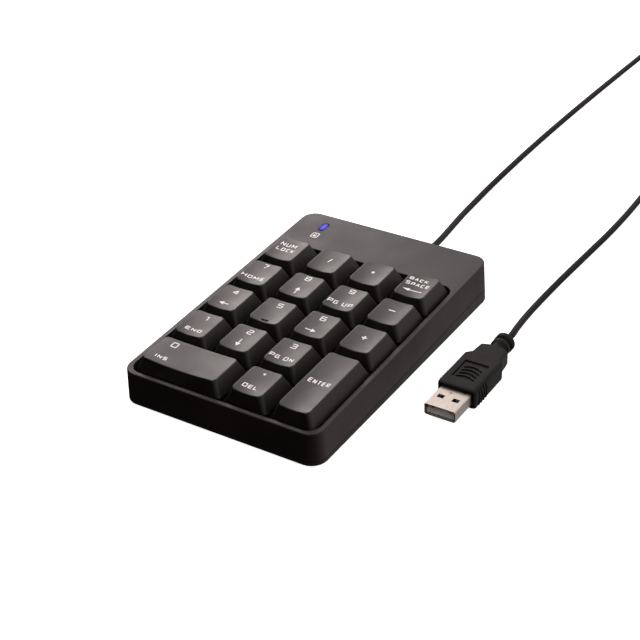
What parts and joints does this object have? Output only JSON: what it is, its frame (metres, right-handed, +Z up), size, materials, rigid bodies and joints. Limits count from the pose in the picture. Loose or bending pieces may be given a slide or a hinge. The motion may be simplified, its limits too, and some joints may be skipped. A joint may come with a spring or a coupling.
{
  "type": "numeric keypad",
  "caption": "Wired numeric keypad with sprung keys in a low wedge-shaped case and a cable with a USB plug.",
  "frame": {"origin": "on the table, under the centre of the case's outline in plan", "axes": "+X to the right of someone typing, +Y from the front edge to the cable end, +Z up"},
  "size_m": [0.1118, 0.4207, 0.0205],
  "materials": {
    "case": "dark warm grey, fine matte grain",
    "base": "darker grey, fine matte grain",
    "cap": "dark grey-brown satin",
    "guide": "black matte",
    "rubber": "black rubber",
    "silicone": "translucent silicone",
    "film": "clear polyester film with printed tracks",
    "steel": "zinc-plated sheet",
    "board": "green solder mask",
    "chip": "black epoxy",
    "lamp": "diffused lamp body",
    "lens": "blue light window",
    "header": "off-white nylon",
    "cord": "black PVC, glossy",
    "grip": "black moulded PVC, satin",
    "nickel": "nickel-plated steel",
    "tongue": "off-white insulator",
    "gold": "gold-plated contact",
    "screw": "zinc-plated"
  },
  "bodies": {
    "case": {"top_cover": "case", "bottom_cover": "base", "key_guide_plate": "guide", "dome_sheet": "silicone", "upper_membrane": "film", "spacer_membrane": "film", "lower_membrane": "film", "steel_backing_plate": "steel", "controller_board": "board", "controller_chip": "chip", "num_lock_lamp": "lamp", "lamp_lens": "lens", "cable_header": "header", "cable_grommet": "grip", "inner_lead": "cord", "cable_from_case": "cord", "cable_to_plug": "cord", "cable_coil": "cord", "coil_tie": "rubber", "plug_grip": "grip", "plug_shell": "nickel", "plug_tongue": "tongue", "plate_screw_1": "screw", "plug_contact_1": "gold", "plate_screw_2": "screw", "plug_contact_2": "gold", "plate_screw_3": "screw", "plug_contact_3": "gold", "plate_screw_4": "screw", "plug_contact_4": "gold", "case_screw_front_left": "screw", "rubber_foot_front_left": "rubber", "case_screw_front_right": "screw", "rubber_foot_front_right": "rubber", "case_screw_rear_left": "screw", "rubber_foot_rear_left": "rubber", "case_screw_rear_right": "screw", "rubber_foot_rear_right": "rubber"},
    "key_num_lock": {"keycap_num_lock": "cap"},
    "key_divide": {"keycap_divide": "cap"},
    "key_multiply": {"keycap_multiply": "cap"},
    "key_backspace": {"keycap_backspace": "cap"},
    "key_7": {"keycap_7": "cap"},
    "key_8": {"keycap_8": "cap"},
    "key_9": {"keycap_9": "cap"},
    "key_minus": {"keycap_minus": "cap"},
    "key_4": {"keycap_4": "cap"},
    "key_5": {"keycap_5": "cap"},
    "key_6": {"keycap_6": "cap"},
    "key_plus": {"keycap_plus": "cap"},
    "key_1": {"keycap_1": "cap"},
    "key_2": {"keycap_2": "cap"},
    "key_3": {"keycap_3": "cap"},
    "key_0": {"keycap_0": "cap"},
    "key_decimal": {"keycap_decimal": "cap"},
    "key_enter": {"keycap_enter": "cap"},
    "wire_0": {"stabiliser_wire_0": "steel"},
    "wire_enter": {"stabiliser_wire_enter": "steel"}
  },
  "joints": [
    {"name": "press_num_lock", "type": "slide", "parent": "case", "child": "key_num_lock", "axis": [0, 0.0293, -0.9996], "range_m": [0, 0.003], "stiffness_N_per_m": 120, "springref_m": -0.0008, "deforming": ["dome_sheet"]},
    {"name": "press_divide", "type": "slide", "parent": "case", "child": "key_divide", "axis": [0, 0.0293, -0.9996], "range_m": [0, 0.003], "stiffness_N_per_m": 120, "springref_m": -0.0008, "deforming": ["dome_sheet"]},
    {"name": "press_multiply", "type": "slide", "parent": "case", "child": "key_multiply", "axis": [0, 0.0293, -0.9996], "range_m": [0, 0.003], "stiffness_N_per_m": 120, "springref_m": -0.0008, "deforming": ["dome_sheet"]},
    {"name": "press_backspace", "type": "slide", "parent": "case", "child": "key_backspace", "axis": [0, 0.0293, -0.9996], "range_m": [0, 0.003], "stiffness_N_per_m": 120, "springref_m": -0.0008, "deforming": ["dome_sheet"]},
    {"name": "press_7", "type": "slide", "parent": "case", "child": "key_7", "axis": [0, 0.0293, -0.9996], "range_m": [0, 0.003], "stiffness_N_per_m": 120, "springref_m": -0.0008, "deforming": ["dome_sheet"]},
    {"name": "press_8", "type": "slide", "parent": "case", "child": "key_8", "axis": [0, 0.0293, -0.9996], "range_m": [0, 0.003], "stiffness_N_per_m": 120, "springref_m": -0.0008, "deforming": ["dome_sheet"]},
    {"name": "press_9", "type": "slide", "parent": "case", "child": "key_9", "axis": [0, 0.0293, -0.9996], "range_m": [0, 0.003], "stiffness_N_per_m": 120, "springref_m": -0.0008, "deforming": ["dome_sheet"]},
    {"name": "press_minus", "type": "slide", "parent": "case", "child": "key_minus", "axis": [0, 0.0293, -0.9996], "range_m": [0, 0.003], "stiffness_N_per_m": 120, "springref_m": -0.0008, "deforming": ["dome_sheet"]},
    {"name": "press_4", "type": "slide", "parent": "case", "child": "key_4", "axis": [0, 0.0293, -0.9996], "range_m": [0, 0.003], "stiffness_N_per_m": 120, "springref_m": -0.0008, "deforming": ["dome_sheet"]},
    {"name": "press_5", "type": "slide", "parent": "case", "child": "key_5", "axis": [0, 0.0293, -0.9996], "range_m": [0, 0.003], "stiffness_N_per_m": 120, "springref_m": -0.0008, "deforming": ["dome_sheet"]},
    {"name": "press_6", "type": "slide", "parent": "case", "child": "key_6", "axis": [0, 0.0293, -0.9996], "range_m": [0, 0.003], "stiffness_N_per_m": 120, "springref_m": -0.0008, "deforming": ["dome_sheet"]},
    {"name": "press_plus", "type": "slide", "parent": "case", "child": "key_plus", "axis": [0, 0.0293, -0.9996], "range_m": [0, 0.003], "stiffness_N_per_m": 120, "springref_m": -0.0008, "deforming": ["dome_sheet"]},
    {"name": "press_1", "type": "slide", "parent": "case", "child": "key_1", "axis": [0, 0.0293, -0.9996], "range_m": [0, 0.003], "stiffness_N_per_m": 120, "springref_m": -0.0008, "deforming": ["dome_sheet"]},
    {"name": "press_2", "type": "slide", "parent": "case", "child": "key_2", "axis": [0, 0.0293, -0.9996], "range_m": [0, 0.003], "stiffness_N_per_m": 120, "springref_m": -0.0008, "deforming": ["dome_sheet"]},
    {"name": "press_3", "type": "slide", "parent": "case", "child": "key_3", "axis": [0, 0.0293, -0.9996], "range_m": [0, 0.003], "stiffness_N_per_m": 120, "springref_m": -0.0008, "deforming": ["dome_sheet"]},
    {"name": "press_0", "type": "slide", "parent": "case", "child": "key_0", "axis": [0, 0.0293, -0.9996], "range_m": [0, 0.003], "stiffness_N_per_m": 120, "springref_m": -0.0008, "deforming": ["dome_sheet"]},
    {"name": "press_decimal", "type": "slide", "parent": "case", "child": "key_decimal", "axis": [0, 0.0293, -0.9996], "range_m": [0, 0.003], "stiffness_N_per_m": 120, "springref_m": -0.0008, "deforming": ["dome_sheet"]},
    {"name": "press_enter", "type": "slide", "parent": "case", "child": "key_enter", "axis": [0, 0.0293, -0.9996], "range_m": [0, 0.003], "stiffness_N_per_m": 120, "springref_m": -0.0008, "deforming": ["dome_sheet"]},
    {"name": "wire_0_swing", "type": "hinge", "parent": "case", "child": "wire_0", "pos_m": [-0.01905, -0.05392, 0.01179], "axis": [-1, 0, 0], "range_deg": [0, 28.96]},
    {"name": "wire_enter_swing", "type": "hinge", "parent": "case", "child": "wire_enter", "pos_m": [0.03352, -0.03945, 0.01221], "axis": [0, -0.9996, -0.0293], "range_deg": [0, 28.96]}
  ],
  "couplings": [
    {"joint": "wire_0_swing", "follows": "press_0", "rad_per_m": 168.4},
    {"joint": "wire_enter_swing", "follows": "press_enter", "rad_per_m": 168.4}
  ]
}
